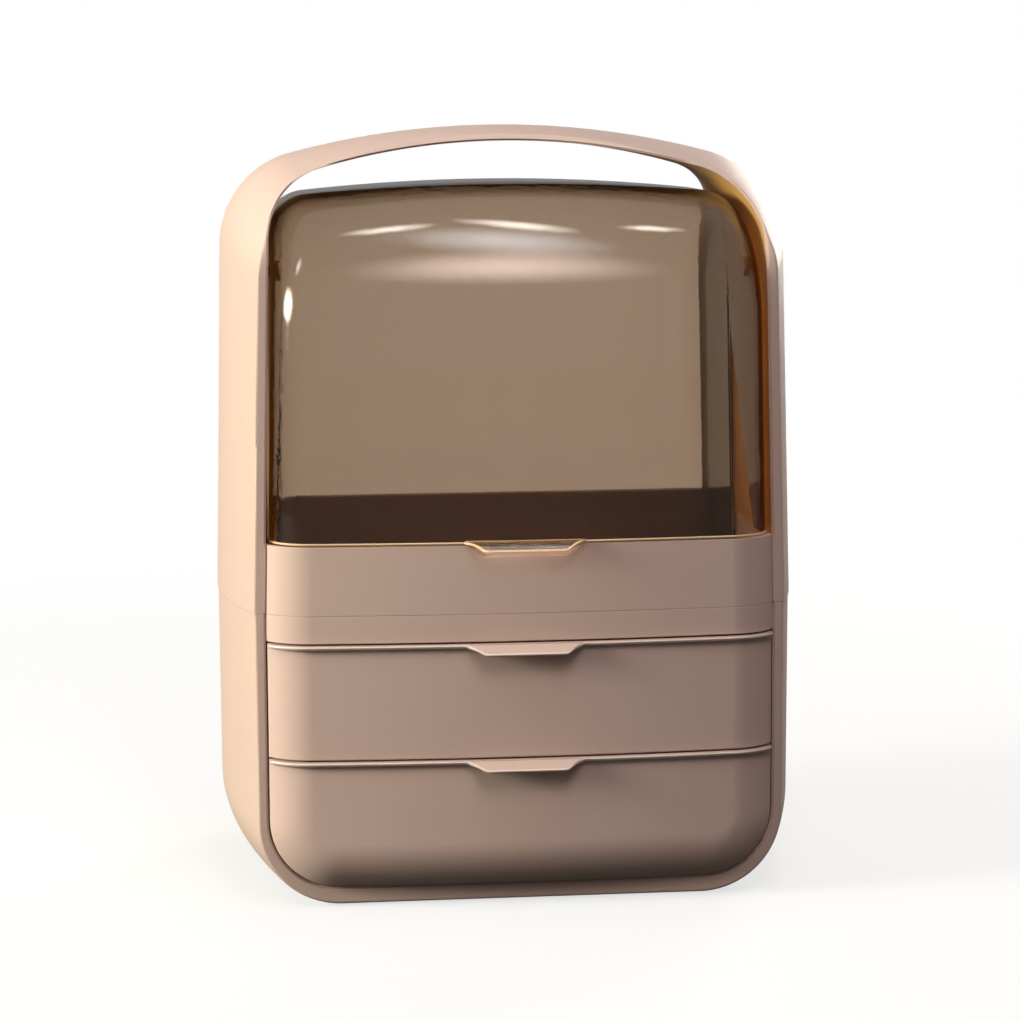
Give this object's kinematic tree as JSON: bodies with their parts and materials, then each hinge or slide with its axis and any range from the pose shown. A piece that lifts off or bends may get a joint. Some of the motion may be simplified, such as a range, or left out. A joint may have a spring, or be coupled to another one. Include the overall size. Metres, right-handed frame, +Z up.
{
  "type": "cosmetic organizer box",
  "caption": "Free-standing cosmetic organizer with a bulging body, swept carry handle, clear tip-up lid over the top compartment, and bowed drawers with pull lips below.",
  "frame": {"origin": "centre of the bounding box at the surface the box stands on", "axes": "+Z up, -Y towards the front with the lid and drawers, +X to the right seen from the front"},
  "size_m": [0.2914, 0.206, 0.3788],
  "materials": {
    "shell": "satin",
    "front": "satin",
    "liner": "glossy",
    "clear": "glossy",
    "inner": "matte",
    "tray": "matte",
    "pin": "satin",
    "steel": "plain",
    "rubber": "matte"
  },
  "bodies": {
    "body": {"lower_shell": "shell", "upper_shell": "shell", "handle_liner": "liner", "rear_hood": "clear", "lid_pin_left": "pin", "lid_pin_right": "pin", "compartment_floor": "inner", "side_guide_left": "inner", "side_guide_right": "inner", "middle_shelf": "inner", "bottom_shelf": "inner", "foot_pads": "rubber", "shell_screws": "steel"},
    "lid": {"lid": "clear"},
    "upper_drawer": {"upper_drawer_front": "front", "upper_drawer_box": "tray", "upper_drawer_dividers": "tray", "upper_front_screws": "steel"},
    "lower_drawer": {"lower_drawer_front": "front", "lower_drawer_box": "tray", "lower_drawer_divider": "tray", "lower_front_screws": "steel"}
  },
  "joints": [
    {"name": "lid_hinge", "type": "hinge", "parent": "body", "child": "lid", "pos_m": [0, -0.047, 0.3092], "axis": [-1, 0, 0], "range_deg": [0, 68]},
    {"name": "upper_drawer_slide", "type": "slide", "parent": "body", "child": "upper_drawer", "axis": [0, -1, 0], "range_m": [0, 0.125]},
    {"name": "lower_drawer_slide", "type": "slide", "parent": "body", "child": "lower_drawer", "axis": [0, -1, 0], "range_m": [0, 0.125]}
  ]
}
